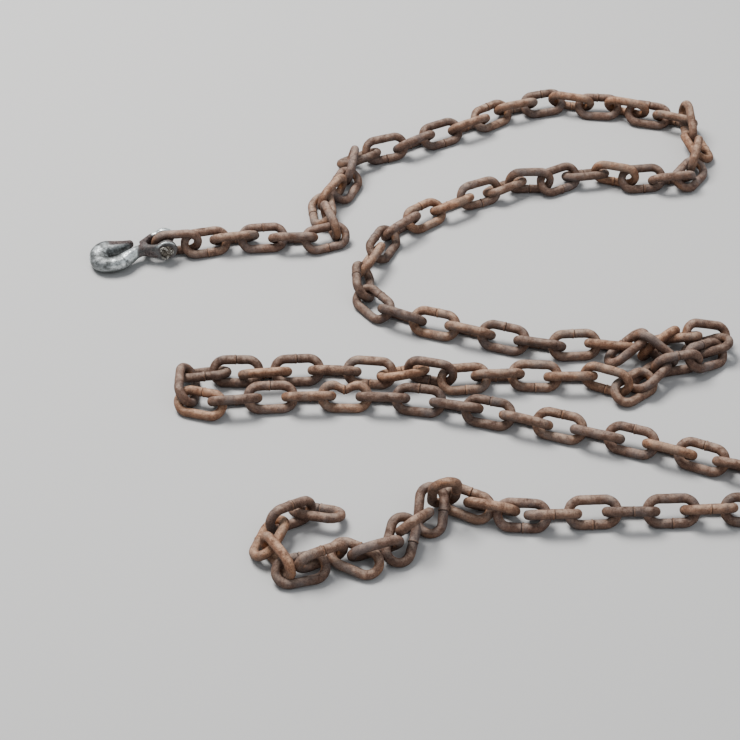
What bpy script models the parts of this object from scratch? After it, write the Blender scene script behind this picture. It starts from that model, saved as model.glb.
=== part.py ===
"""A long length of rusty short-link steel chain, dropped in loose bends, with a clevis hook on one end.

Metres, +Z up. The chain lies on the floor, z = 0, centred over the origin.
+X runs to the right and +Y away from the viewer who stands in front of the heap.
"""

import math

import bmesh
import bpy
import numpy as np
from mathutils import Matrix, Vector

# Driving sizes of one link
WIRE = 0.008
LINK_INSIDE_LENGTH = 0.0328
LINK_INSIDE_WIDTH = 0.0127
BOW_RADIUS = (LINK_INSIDE_WIDTH + WIRE) / 2
STRAIGHT = (LINK_INSIDE_LENGTH - LINK_INSIDE_WIDTH) / 2

# How links meet: links that share a node bite into each other, all others keep a gap
LINK_GAP = 0.0004
PAIR_BITE = 0.0010
LINK_PLAY = 0.0001

# Facets of a link: steps round each bow and sides of the bar. Corners stand a little proud,
# so that the flats between them lie where the round bar is
BOW_STEPS = 4
BOW_BULGE = 1.03
WIRE_SIDES = 6
WIRE_SWELL = 1.04
WIRE_REACH = WIRE * WIRE_SWELL / 2

# Clevis grab hook: the bowl holds a slot for one link, and the tip is its open side
SLOT_CLEARANCE = 0.0010
SLOT_ANGLE = math.radians(20)
SLOT_BOTTOM_BACK = 0.0030
SLOT_MOUTH_ASIDE = -0.0056
HOOK_RIM = 0.0160
HOOK_THICKNESS = 0.0150
HOOK_REACH = 0.0530
HOOK_TIP_LENGTH = 0.0225
HOOK_TIP_WIDTH = 0.0068
NECK_WIDTH = 0.0130
NECK_START = 0.0250
EDGE_ROUNDING = 0.0030
HOOK_HEADING = math.radians(193)

# The clevis: two ears on a pin that goes through the first link
PIN_DIAMETER = 0.0090
PIN_CLEARANCE = 0.0003
PIN_TO_LINK = 0.0006
PIN_HEAD_DIAMETER = 0.0130
PIN_HEAD_HEIGHT = 0.0025
PIN_TAIL_HEIGHT = 0.0020
PIN_TAIL_DIAMETER = 0.0110
EAR_THICKNESS = 0.0055
EAR_RADIUS = 0.0105
EAR_SIDE_CLEARANCE = 0.0030
CROTCH_CLEARANCE = 0.0008
CROTCH_ROUNDING = 0.0030

FLOOR = 0.0

# Settling, in small rounds. A push turns a link a little: SWING_SHARE of its length is its lever
SETTLE_ROUNDS = 1300
SETTLE_POINTS = 48
SETTLE_DROP = 0.0004
SETTLE_GLIDE = 0.8
GLIDE_END = 0.95
SWING_SHARE = 0.45
NEIGHBOUR_REACH = 0.0256

# Pulls back to what is drawn. Each has its strength, the share of the rounds at which it is gone, and
# how long it takes to go: for a link's pose, to the side, for links placed by hand, and for lying level
HOLD_PULL = (0.30, 0.50, 0.25)
HOLD_ALONG = 0.3
SIDE_PULL = (0.05, 0.60, 0.50)
LEAST_PULL = 0.002
LEAST_END = 0.85
POSED_PULL = (0.05, 0.85, 0.25)
LEVEL_PULL = (0.10, 1.00, 0.3333)
LEVEL_SLOPE = 0.01

# Where the chain lies. Each mark is a link's number, counted from the hook, and how far
# right and back its middle lies, in steps. Links between two marks follow a smooth curve.
LAST_LINK = 115
MARK_STEP = 0.0316
MARKS = (
    (1, -7.50, 2.85), (3, -5.75, 3.15), (5, -3.95, 3.20), (6, -3.05, 3.25), (7, -2.75, 3.75),
    (8, -2.95, 4.55), (9, -2.75, 5.20), (10, -2.65, 5.95), (11, -2.35, 6.85), (12, -1.60, 7.40),
    (14, -0.10, 8.30), (16, 1.70, 9.20), (17, 2.45, 9.70), (18, 3.25, 10.20), (19, 4.20, 10.40),
    (20, 5.15, 10.65), (21, 6.00, 10.35), (22, 6.90, 10.22), (23, 7.78, 9.80), (24, 8.60, 9.72),
    (25, 8.78, 8.92), (26, 8.97, 7.88), (27, 8.86, 7.22), (28, 8.90, 6.50), (29, 8.20, 6.30),
    (31, 6.40, 6.35), (32, 5.45, 6.55), (33, 4.50, 6.30), (35, 2.80, 5.80), (37, 1.05, 4.95),
    (38, 0.20, 4.50), (39, -0.60, 3.80), (40, -1.25, 3.05), (41, -1.60, 2.05), (42, -1.95, 1.05),
    (43, -1.70, 0.15), (44, -0.95, -0.40), (47, 2.10, -1.40), (49, 4.05, -1.95), (50, 5.00, -1.75),
    (51, 5.80, -2.00), (52, 6.45, -2.25), (53, 6.67, -2.00), (54, 7.22, -1.55), (55, 8.22, -1.69),
    (56, 8.25, -1.95), (57, 8.15, -2.20), (58, 7.20, -2.60), (59, 6.40, -3.15), (60, 5.95, -3.50),
    (61, 5.15, -3.30), (62, 4.15, -3.20), (65, 1.25, -3.10), (67, -0.75, -3.05), (70, -3.80, -2.90),
    (71, -4.55, -3.00), (73, -6.20, -3.10), (74, -6.85, -3.60), (75, -6.35, -4.10), (76, -5.30, -4.10),
    (79, -2.25, -4.00), (81, -0.20, -4.15), (83, 1.75, -4.65), (86, 4.65, -5.50), (89, 7.50, -6.45),
    (90, 8.40, -6.80), (91, 9.30, -7.00), (92, 10.10, -7.40), (93, 10.05, -8.15), (94, 9.30, -8.50),
    (95, 8.40, -8.40), (97, 6.38, -8.45), (99, 4.31, -8.50), (101, 2.29, -8.60), (102, 1.55, -8.40),
    (103, 1.00, -7.95), (104, 0.38, -8.23), (105, 0.04, -8.46), (106, -0.47, -9.12), (107, -0.84, -9.60),
    (108, -1.25, -10.00), (109, -1.95, -10.05), (110, -2.65, -10.05), (111, -3.26, -10.43),
    (112, -3.82, -10.22), (113, -4.24, -9.38), (114, -3.71, -8.61), (115, -2.98, -8.51),
)

# How each link lies on its own length, ten links a row: F shows its open face to the front,
# U its edge. TURNED gives the angle from F, in degrees, of links that lie between the two.
LIES = (
    "UFUFUFUFUF" "UUFUFUFUFF" "FUFUUFUFUF" "FUFUFFUFUF" "UFFUFUFUFU"
    "FUFUFUFUFU" "FUFUFFUFUF" "UFUFFUFUFU" "FUFUFUFUFU" "FUFUFUFUFU"
    "FUFFFUFUFU" "FFFUF"
)
TURNED = {
    11: 75, 12: 150, 19: -5, 20: 70, 21: -10, 22: 70, 23: -10, 31: -60, 32: 60, 33: 0, 34: 110,
    35: 40, 36: -20, 41: 70, 42: 130, 65: 15, 66: -50, 67: 65, 73: 70, 74: 130,
}

# Links that are placed by hand: heading, rise, height of the middle in steps, and lean from flat
POSED = {
    1: (8, 0, 0.46, -85), 24: (-8, 0, 0.36, 144), 25: (-79, -16, 0.52, 90), 26: (-66, 0, 0.30, 0),
    51: (20, 25, 0.58, -20), 52: (-20, -68, 0.71, -58), 53: (28, 0, 0.46, -60), 54: (-18, -16, 0.42, -35),
    55: (-16, -8, 0.25, 0), 56: (215, 0, 0.42, 35), 57: (208, 4, 0.32, -10), 58: (186, 0, 0.46, -90),
    59: (224, -8, 0.40, 28), 60: (225, 0, 0.25, -10), 61: (171, 0, 0.46, -80),
    103: (144, 0, 0.40, -42), 104: (-90, 38, 0.52, 0), 105: (-105, -12, 0.60, 0), 106: (-146, 2, 0.36, 40),
    107: (-109, -5, 0.33, -20), 111: (207, 0, 0.30, -8), 112: (125, 12, 0.50, -85), 113: (58, 3, 0.34, -25),
    114: (33, -12, 0.45, 95), 115: (-3, 0, 0.20, -13),
}


def clear_scene():
    for item in list(bpy.data.objects):
        bpy.data.objects.remove(item, do_unlink=True)


def smooth_through(knots, values, at):
    """A natural cubic curve through values at knots, read at the places in at."""
    count = len(knots)
    step = np.diff(knots)
    system = np.eye(count)
    known = np.zeros(values.shape)
    for i in range(1, count - 1):
        system[i, i - 1 : i + 2] = step[i - 1], 2 * (step[i - 1] + step[i]), step[i]
        after = (values[i + 1] - values[i]) / step[i]
        before = (values[i] - values[i - 1]) / step[i - 1]
        known[i] = 6 * (after - before)
    bend = np.linalg.solve(system, known)
    k = np.clip(np.searchsorted(knots, at, side="right") - 1, 0, count - 2)
    width = step[k][:, None]
    done = (at - knots[k])[:, None]
    left = width - done
    curve = (bend[k] * left**3 + bend[k + 1] * done**3) / (6 * width)
    curve += (values[k] / width - bend[k] * width / 6) * left
    curve += (values[k + 1] / width - bend[k + 1] * width / 6) * done
    return curve


def drawn_links():
    """Middles and axes of all links as drawn. An axes matrix has columns along, across and out of a link."""
    marks = np.array(MARKS)
    numbers = np.arange(1.0, LAST_LINK + 1)
    flat = smooth_through(marks[:, 0], marks[:, 1:] * MARK_STEP, numbers)
    leaning_height = BOW_RADIUS * math.sin(math.radians(45)) + WIRE / 2
    middles = np.column_stack([flat, np.full(LAST_LINK, leaning_height)])
    first = 1.5 * middles[0] - 0.5 * middles[1]
    last = 1.5 * middles[-1] - 0.5 * middles[-2]
    joints = np.vstack([first, (middles[1:] + middles[:-1]) / 2, last])
    front = Vector((0, -1, 1)).normalized()
    axes = np.empty((LAST_LINK, 3, 3))
    for i in range(LAST_LINK):
        along = Vector(joints[i + 1] - joints[i]).normalized()
        if i + 1 in POSED:
            heading, rise, height, lean = POSED[i + 1]
            turn = Matrix.Rotation(math.radians(heading), 3, "Z")
            along = turn @ Matrix.Rotation(-math.radians(rise), 3, "Y").col[0]
            middles[i, 2] = height * MARK_STEP
            level = Vector((0, 0, 1)).cross(along).normalized()
            across = Matrix.Rotation(math.radians(lean), 3, along) @ level
        else:
            angle = TURNED.get(i + 1, 0 if LIES[i] == "F" else 90)
            facing = (front - along * front.dot(along)).normalized()
            out = Matrix.Rotation(math.radians(angle), 3, along) @ facing
            across = out.cross(along)
        axes[i] = Matrix((along, across, along.cross(across))).transposed()
    return middles, axes


def wire_points():
    """Evenly spread points along a link's centre line, in the link's own plane."""
    side = 2 * STRAIGHT
    bow = math.pi * BOW_RADIUS
    points = []
    for gone in np.arange(SETTLE_POINTS) * 2 * (side + bow) / SETTLE_POINTS:
        half, rest = divmod(gone, side + bow)
        if rest < side:
            x, y = rest - STRAIGHT, -BOW_RADIUS
        else:
            angle = (rest - side) / BOW_RADIUS
            x, y = STRAIGHT + BOW_RADIUS * math.sin(angle), -BOW_RADIUS * math.cos(angle)
        points.append((x, y, 0) if half == 0 else (-x, -y, 0))
    return np.array(points)


def nearest_on_wire(points):
    """The points of a link's centre line that are nearest to points in the link's own axes."""
    core = np.clip(points[..., 0], -STRAIGHT, STRAIGHT)
    out = np.stack([points[..., 0] - core, points[..., 1]], -1)
    length = np.linalg.norm(out, axis=-1)[..., None]
    out = np.where(length > 1e-9, out / np.maximum(length, 1e-9), (0.0, 1.0)) * BOW_RADIUS
    return np.stack([core + out[..., 0], out[..., 1], np.zeros(core.shape)], -1)


def turned(axes, spin):
    """Axes turned by rotation vectors."""
    angle = np.linalg.norm(spin, axis=1)
    x, y, z = (spin / np.maximum(angle, 1e-12)[:, None]).T
    none = np.zeros(len(x))
    cross = np.stack([none, -z, y, z, none, -x, -y, x, none], 1).reshape(-1, 3, 3)
    sine = np.sin(angle)[:, None, None]
    rest = (1 - np.cos(angle))[:, None, None]
    return (np.eye(3) + sine * cross + rest * cross @ cross) @ axes


def contacts(middles, axes, a, b):
    """For links a and b: the nearest points of their centre lines, the direction from b to a, and how far."""
    on_a = np.einsum("nij,kj->nki", axes[a], wire_points()) + middles[a][:, None]
    seen = np.einsum("nji,nkj->nki", axes[b], on_a - middles[b][:, None])
    on_b = np.einsum("nij,nkj->nki", axes[b], nearest_on_wire(seen)) + middles[b][:, None]
    apart = np.linalg.norm(on_a - on_b, axis=2)
    nearest = (np.arange(len(a)), apart.argmin(axis=1))
    on_a, on_b, apart = on_a[nearest], on_b[nearest], apart[nearest]
    return on_a, on_b, (on_a - on_b) / np.maximum(apart, 1e-9)[:, None], apart


def fading(pull, share):
    """How strong a pull still is: its strength, until it goes in a straight line to nothing at its end."""
    strength, end, length = pull
    return strength * min(1, max(0, (end - share) / length))


def settled_links():
    """The drawn links, moved until none cuts another, neighbours touch and all lie on the floor."""
    drawn, drawn_axes = drawn_links()
    middles, axes = drawn.copy(), drawn_axes.copy()
    free = np.ones(LAST_LINK)
    free[0] = 0
    posed = np.isin(np.arange(LAST_LINK) + 1, list(POSED))
    level = free * (abs(drawn_axes[:, 2, 0]) < LEVEL_SLOPE)
    swing = (LINK_INSIDE_LENGTH * SWING_SHARE) ** 2
    reach = LINK_INSIDE_LENGTH + NEIGHBOUR_REACH
    run = drawn_axes[:, :2, 0] / np.linalg.norm(drawn_axes[:, :2, 0], axis=1)[:, None]
    before = middles.copy()
    for turn in range(SETTLE_ROUNDS):
        share = turn / SETTLE_ROUNDS
        glide = SETTLE_GLIDE * (middles - before) * (share < GLIDE_END)
        before = middles.copy()
        apart = np.linalg.norm(middles[:, None] - middles[None], axis=2)
        first, second = np.nonzero(np.triu(apart < reach, 1))
        push = np.zeros((LAST_LINK, 3))
        spin = np.zeros((LAST_LINK, 3))
        shares = np.ones(LAST_LINK)
        for a, b in ((first, second), (second, first)):
            on_a, on_b, way, apart = contacts(middles, axes, a, b)
            linked = abs(a - b) == 1
            paired = linked & (np.minimum(a, b) % 2 == 0)
            lack = np.where(paired, WIRE - PAIR_BITE, WIRE * WIRE_SWELL + LINK_GAP) - apart
            loose = np.where(paired, lack, np.minimum(lack + LINK_PLAY, 0)) / 2
            lack = np.where(lack > 0, lack, np.where(linked, loose, 0))
            arm_a = np.cross(on_a - middles[a], way)
            arm_b = np.cross(on_b - middles[b], way)
            ease = free[a] * (1 + (arm_a**2).sum(1) / swing) + free[b] * (1 + (arm_b**2).sum(1) / swing)
            move = (lack / np.maximum(ease, 1e-9))[:, None]
            np.add.at(push, a, move * way)
            np.add.at(push, b, -move * way)
            np.add.at(spin, a, move * arm_a / swing)
            np.add.at(spin, b, -move * arm_b / swing)
            np.add.at(shares, a, lack != 0)
            np.add.at(shares, b, lack != 0)
        part = (free * 2 / shares)[:, None]
        middles = middles + push * part + glide * free[:, None]
        axes = turned(axes, spin * part)
        # Weight: links drop to the floor, and those drawn level turn level
        tip = STRAIGHT * abs(axes[:, 2, 0]) + BOW_RADIUS * np.hypot(axes[:, 2, 0], axes[:, 2, 1])
        above = middles[:, 2] - tip - WIRE_REACH - FLOOR
        middles[:, 2] -= free * np.minimum(above, SETTLE_DROP)
        flat = axes[:, :, 0] * (1, 1, 0)
        fall = np.cross(axes[:, :, 0], flat / np.linalg.norm(flat, axis=1)[:, None])
        axes = turned(axes, fall * (level * fading(LEVEL_PULL, share))[:, None])
        # Pulls back to the drawn place and pose
        hold = fading(HOLD_PULL, share)
        rest = LEAST_PULL * (share < LEAST_END)
        side = np.maximum(max(fading(SIDE_PULL, share), rest), posed * fading(POSED_PULL, share))[:, None]
        along = np.maximum(HOLD_ALONG * hold, posed * fading(POSED_PULL, share))[:, None]
        back = (drawn - middles)[:, :2]
        back_along = (back * run).sum(1)[:, None] * run
        middles[:, :2] += free[:, None] * (along * back_along + side * (back - back_along))
        lean = sum(np.cross(axes[:, :, k], drawn_axes[:, :, k]) for k in range(3)) / 2
        axes = turned(axes, lean * free[:, None] * (hold + side))
    return middles, axes


def new_object(name, mesh, material, parent=None):
    item = bpy.data.objects.new(name, mesh)
    bpy.context.scene.collection.objects.link(item)
    mesh.materials.append(material)
    item.parent = parent
    return item


def plain_material(name, colour, roughness, metallic):
    material = bpy.data.materials.new(name)
    material.use_nodes = True
    shader = material.node_tree.nodes["Principled BSDF"]
    shader.inputs["Base Color"].default_value = (*colour, 1)
    shader.inputs["Roughness"].default_value = roughness
    shader.inputs["Metallic"].default_value = metallic
    material.diffuse_color = (*colour, 1)
    return material


def link_mesh(name, middle, axes):
    """One welded link: a round bar bent to two straight sides and two half-circle bows."""
    shape = bmesh.new()
    radius = WIRE * WIRE_SWELL / 2
    rings = []
    for bow in (0, 1):
        for step in range(BOW_STEPS + 1):
            angle = math.pi * (bow + step / BOW_STEPS - 0.5)
            out = np.array((math.cos(angle), math.sin(angle), 0))
            bulge = BOW_BULGE if 0 < step < BOW_STEPS else 1
            centre = out * BOW_RADIUS * bulge + np.array((STRAIGHT if bow == 0 else -STRAIGHT, 0, 0))
            ring = []
            for side in range(WIRE_SIDES):
                round_bar = 2 * math.pi * side / WIRE_SIDES
                normal = math.sin(round_bar) * np.array((0, 0, 1))
                point = centre + radius * (math.cos(round_bar) * out + normal)
                ring.append(shape.verts.new(axes @ point + middle))
            rings.append(ring)
    for ring, after in zip(rings, rings[1:] + rings[:1]):
        for side in range(WIRE_SIDES):
            then = (side + 1) % WIRE_SIDES
            shape.faces.new((ring[side], after[side], after[then], ring[then]))
    bmesh.ops.recalc_face_normals(shape, faces=shape.faces)
    mesh = bpy.data.meshes.new(name)
    shape.to_mesh(mesh)
    shape.free()
    mesh.shade_smooth()
    return mesh


def combine(item, other, operation):
    """Adds a Boolean of another object, which then stays as a hidden helper."""
    modifier = item.modifiers.new(other.name, "BOOLEAN")
    modifier.operation = operation
    modifier.solver = "EXACT"
    modifier.object = other
    other.hide_render = True
    other.display_type = "WIRE"


def joined_mesh(name, pieces):
    """One closed outer skin from meshes that bite into each other. Pockets sealed between them are filled."""
    base = bpy.data.objects.new(name, pieces[0])
    bpy.context.scene.collection.objects.link(base)
    others = []
    for piece in pieces[1:]:
        other = bpy.data.objects.new(piece.name, piece)
        bpy.context.scene.collection.objects.link(other)
        combine(base, other, "UNION")
        others.append(other)
    graph = bpy.context.evaluated_depsgraph_get()
    mesh = bpy.data.meshes.new_from_object(base.evaluated_get(graph))
    for item in [base, *others]:
        bpy.data.objects.remove(item, do_unlink=True)
    shape = bmesh.new()
    shape.from_mesh(mesh)
    left = set(shape.faces)
    skins = []
    while left:
        skin = {left.pop()}
        edge = list(skin)
        while edge:
            near = {face for side in edge.pop().edges for face in side.link_faces} & left
            left -= near
            skin |= near
            edge.extend(near)
        skins.append(skin)
    skins.sort(key=len)
    inner = [face for skin in skins[:-1] for face in skin]
    bmesh.ops.delete(shape, geom=inner, context="FACES")
    shape.to_mesh(mesh)
    shape.free()
    mesh.name = name
    return mesh


def build_chain(middles, axes):
    """Links share a node two by two, joined where they touch, and the free end link is alone."""
    rust = plain_material("rusty_steel", (0.17, 0.095, 0.06), 0.85, 0.3)
    for first in range(0, LAST_LINK - 1, 2):
        pieces = [link_mesh(f"link_{i + 1}", middles[i], axes[i]) for i in (first, first + 1)]
        name = f"link_pair_{first // 2 + 1:02d}"
        new_object(name, joined_mesh(name, pieces), rust)
    if LAST_LINK % 2:
        new_object("end_link", link_mesh("end_link", middles[-1], axes[-1]), rust)


def arc(centre, radius, start, end, steps):
    """Points of an arc, angles in radians."""
    angles = [start + (end - start) * k / steps for k in range(steps + 1)]
    return [(centre[0] + radius * math.cos(a), centre[1] + radius * math.sin(a)) for a in angles]


def slab(name, outline, low, high, material, parent, upright=False):
    """A closed outline drawn out from low to high, along z, or along y where it stands upright."""
    shape = bmesh.new()
    place = (lambda u, v, w: (u, w, v)) if upright else (lambda u, v, w: (u, v, w))
    base = shape.faces.new([shape.verts.new(place(u, v, low)) for u, v in outline])
    grown = bmesh.ops.extrude_face_region(shape, geom=[base])["geom"]
    raised = [part for part in grown if isinstance(part, bmesh.types.BMVert)]
    bmesh.ops.translate(shape, verts=raised, vec=place(0, 0, high - low))
    bmesh.ops.recalc_face_normals(shape, faces=shape.faces)
    mesh = bpy.data.meshes.new(name)
    shape.to_mesh(mesh)
    shape.free()
    return new_object(name, mesh, material, parent)


def lathe(name, profile, sides, material, parent):
    """A turned bar along y; its profile is a list of radius and y, from low y to high."""
    shape = bmesh.new()
    rings = []
    for radius, y in profile:
        angles = [2 * math.pi * k / sides for k in range(sides)]
        rings.append([shape.verts.new((radius * math.cos(a), y, radius * math.sin(a))) for a in angles])
    for ring, after in zip(rings, rings[1:]):
        for k in range(sides):
            shape.faces.new((ring[k], ring[(k + 1) % sides], after[(k + 1) % sides], after[k]))
    shape.faces.new(rings[0])
    shape.faces.new(rings[-1])
    bmesh.ops.recalc_face_normals(shape, faces=shape.faces)
    mesh = bpy.data.meshes.new(name)
    shape.to_mesh(mesh)
    shape.free()
    return new_object(name, mesh, material, parent)


def bent_edge(start, corner, end, steps):
    """Points of a smooth edge that leaves start towards corner and comes into end from it."""
    shares = [k / steps for k in range(steps + 1)]
    return [
        tuple((1 - s) ** 2 * start[k] + 2 * s * (1 - s) * corner[k] + s**2 * end[k] for k in (0, 1))
        for s in shares
    ]


def hook_outline(slot, rim):
    """The hook seen from above: round the tip, the bowl and the neck, and back along the slot."""
    bowl = (HOOK_REACH, 0)
    depth = HOOK_REACH - SLOT_BOTTOM_BACK
    bottom = (depth, SLOT_MOUTH_ASIDE + (depth - NECK_START) * math.tan(SLOT_ANGLE))
    back = (-math.cos(SLOT_ANGLE), -math.sin(SLOT_ANGLE))
    across = (math.sin(SLOT_ANGLE), -math.cos(SLOT_ANGLE))
    tip_radius = HOOK_TIP_WIDTH / 2
    beside = slot + tip_radius
    tip = [bottom[k] + back[k] * HOOK_TIP_LENGTH + across[k] * beside for k in (0, 1)]
    inside = math.atan2(-across[1], -across[0])
    to_tip = math.atan2(tip[1], tip[0] - HOOK_REACH) + 2 * math.pi
    outside = to_tip + math.acos((rim - tip_radius) / math.dist(tip, bowl))
    neck = NECK_WIDTH / 2
    shoulder = math.radians(140)
    points = arc(tip, tip_radius, inside, outside, 7)
    points += arc(bowl, rim, outside, shoulder + 2 * math.pi, 18)
    drop = (points[-1][1] - neck) / math.cos(shoulder)
    corner = (points[-1][0] + drop * math.sin(shoulder), neck)
    points += bent_edge(points[-1], corner, (NECK_START, neck), 4)[1:]
    root = CROTCH_ROUNDING + EAR_RADIUS
    points += [(root, neck), (root, -neck)]
    run = (bottom[0] - NECK_START) / math.cos(SLOT_ANGLE)
    wall = [bottom[k] - across[k] * slot + back[k] * run for k in (0, 1)]
    points.append(tuple(wall))
    points += arc(bottom, slot, inside, inside - math.pi, 8)
    return points


def build_hook(middle, axes):
    """The clevis grab hook, drawn with its pin along y at the pivot and its bowl along x."""
    steel = plain_material("galvanised_steel", (0.42, 0.43, 0.44), 0.45, 0.8)
    pin_steel = plain_material("rusty_pin", (0.10, 0.075, 0.06), 0.8, 0.4)
    pin_radius = PIN_DIAMETER / 2
    hole_radius = pin_radius + PIN_CLEARANCE
    half = HOOK_THICKNESS / 2
    slot = (WIRE + SLOT_CLEARANCE) / 2
    rim = slot + HOOK_RIM

    # The pin lies against the inside of the first link's bow, and the bowl's underside rests on the floor
    inside_bow = LINK_INSIDE_LENGTH / 2 + WIRE / 2 - WIRE_REACH
    pin_place = middle - axes[:, 0] * (inside_bow - PIN_TO_LINK - pin_radius)
    resting = HOOK_REACH + rim - EDGE_ROUNDING
    pitch = math.asin((pin_place[2] - FLOOR) / math.hypot(resting, half)) - math.atan2(half, resting)
    pivot = bpy.data.objects.new("hook_pivot", None)
    bpy.context.scene.collection.objects.link(pivot)
    pivot.location = pin_place
    pivot.rotation_euler = (0, pitch, HOOK_HEADING)

    hook = slab("hook", hook_outline(slot, rim), -half, half, steel, pivot)
    rounding = hook.modifiers.new("rounded edges", "BEVEL")
    rounding.width = EDGE_ROUNDING
    rounding.segments = 2
    rounding.limit_method = "ANGLE"
    rounding.angle_limit = math.radians(60)

    # Clevis head: a block with round ears, narrowed towards the neck
    gap = WIRE_REACH + EAR_SIDE_CLEARANCE
    width = gap + EAR_THICKNESS
    neck = NECK_WIDTH / 2
    side_view = arc((0, 0), EAR_RADIUS, math.radians(75), math.radians(285), 14)
    side_view += [(NECK_START, -half * 0.9), (NECK_START, half * 0.9)]
    head = slab("clevis_head", side_view, -width, width, steel, pivot, upright=True)
    flank = EAR_RADIUS + EAR_THICKNESS / 2
    top_view = [(-flank, -width), (EAR_RADIUS, -width), (NECK_START + half, -neck / 2)]
    top_view += [(x, -y) for x, y in reversed(top_view)]
    combine(head, slab("head_outline", top_view, -2 * flank, 2 * flank, steel, pivot), "INTERSECT")
    combine(hook, head, "UNION")

    # Crotch between the ears, deep enough for the link's bow at any swing, and the pin's hole
    bottom = BOW_RADIUS + WIRE_REACH + CROTCH_CLEARANCE
    corner = bottom - CROTCH_ROUNDING
    crotch = [(-2 * flank, -gap)]
    crotch += arc((corner, CROTCH_ROUNDING - gap), CROTCH_ROUNDING, -math.pi / 2, 0, 4)
    crotch += arc((corner, gap - CROTCH_ROUNDING), CROTCH_ROUNDING, 0, math.pi / 2, 4)
    crotch.append((-2 * flank, gap))
    combine(hook, slab("crotch", crotch, -2 * flank, 2 * flank, steel, pivot), "DIFFERENCE")
    hole = [(hole_radius, -2 * width), (hole_radius, 2 * width)]
    combine(hook, lathe("pin_hole", hole, 24, steel, pivot), "DIFFERENCE")

    # The pin has a head on the viewer's side and is riveted over on the other
    under_head = width + PIN_CLEARANCE
    head_radius = PIN_HEAD_DIAMETER / 2
    tail_radius = PIN_TAIL_DIAMETER / 2
    pin = [
        (pin_radius, -under_head - PIN_TAIL_HEIGHT), (tail_radius, -under_head - PIN_TAIL_HEIGHT / 2),
        (tail_radius, -under_head), (pin_radius, -under_head), (pin_radius, under_head),
        (head_radius, under_head), (head_radius, under_head + PIN_HEAD_HEIGHT / 2),
        (pin_radius, under_head + PIN_HEAD_HEIGHT),
    ]
    lathe("clevis_pin", pin, 24, pin_steel, pivot)


def centre_over_origin():
    """Moves everything so that the box of what shows stands centred over the origin."""
    bpy.context.view_layer.update()
    graph = bpy.context.evaluated_depsgraph_get()
    corners = []
    for item in bpy.data.objects:
        if item.type == "MESH" and not item.hide_render:
            seen = item.evaluated_get(graph)
            points = [seen.matrix_world @ Vector(corner) for corner in seen.bound_box]
            corners.extend([(point.x, point.y) for point in points])
    middle = (np.min(corners, axis=0) + np.max(corners, axis=0)) / 2
    for item in bpy.data.objects:
        if item.parent is None:
            item.location -= Vector((*middle, 0))


clear_scene()
places, directions = settled_links()
build_chain(places, directions)
build_hook(places[0], directions[0])
centre_over_origin()
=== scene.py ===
"""The looks of a rusty steel chain that lies in loose bends, with a galvanised grab hook on one end."""

import math

import bmesh
import bpy
import numpy as np
from mathutils import Matrix, Vector, noise


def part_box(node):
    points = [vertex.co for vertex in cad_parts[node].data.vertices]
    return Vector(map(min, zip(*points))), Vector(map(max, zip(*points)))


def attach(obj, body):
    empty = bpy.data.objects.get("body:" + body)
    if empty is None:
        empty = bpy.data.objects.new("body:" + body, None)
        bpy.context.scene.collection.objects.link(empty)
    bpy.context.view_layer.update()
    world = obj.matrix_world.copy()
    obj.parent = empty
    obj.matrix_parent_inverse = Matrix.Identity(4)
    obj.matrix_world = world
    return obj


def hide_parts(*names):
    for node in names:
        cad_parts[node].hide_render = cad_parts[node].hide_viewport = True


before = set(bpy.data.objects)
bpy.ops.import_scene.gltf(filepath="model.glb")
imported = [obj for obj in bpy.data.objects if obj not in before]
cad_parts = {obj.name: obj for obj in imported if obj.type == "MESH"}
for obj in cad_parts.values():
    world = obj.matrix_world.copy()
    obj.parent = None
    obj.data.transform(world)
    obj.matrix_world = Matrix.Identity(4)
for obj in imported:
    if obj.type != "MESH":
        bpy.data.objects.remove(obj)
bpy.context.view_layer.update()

# LINKS
# Each link is one bar of round steel, bent to a long ring and welded in the middle of one long side.
# The links hang in each other as one chain, rusty all over, that lies as it was dropped.

# Driving sizes of one link, in metres. The drawn course and the settling are the same as in the
# solids, so that each detailed link takes the place of its plain one.
WIRE = 0.008
LINK_INSIDE_LENGTH = 0.0328
LINK_INSIDE_WIDTH = 0.0127
BOW_RADIUS = (LINK_INSIDE_WIDTH + WIRE) / 2
STRAIGHT = (LINK_INSIDE_LENGTH - LINK_INSIDE_WIDTH) / 2

# How links meet: links that share a node bite into each other, all others keep a gap
LINK_GAP = 0.0004
PAIR_BITE = 0.0010
LINK_PLAY = 0.0001

# The plain bars have few sides, and stand out by their corners
WIRE_SWELL = 1.04
WIRE_REACH = WIRE * WIRE_SWELL / 2
FLOOR = 0.0

# Settling, in small rounds. A push turns a link a little: SWING_SHARE of its length is its lever
SETTLE_ROUNDS = 1300
SETTLE_POINTS = 48
SETTLE_DROP = 0.0004
SETTLE_GLIDE = 0.8
GLIDE_END = 0.95
SWING_SHARE = 0.45
NEIGHBOUR_REACH = 0.0256

# Pulls back to what is drawn. Each has its strength, the share of the rounds at which it is gone, and
# how long it takes to go: for a link's pose, to the side, for links placed one by one, and for lying level
HOLD_PULL = (0.30, 0.50, 0.25)
HOLD_ALONG = 0.3
SIDE_PULL = (0.05, 0.60, 0.50)
LEAST_PULL = 0.002
LEAST_END = 0.85
POSED_PULL = (0.05, 0.85, 0.25)
LEVEL_PULL = (0.10, 1.00, 0.3333)
LEVEL_SLOPE = 0.01

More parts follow.
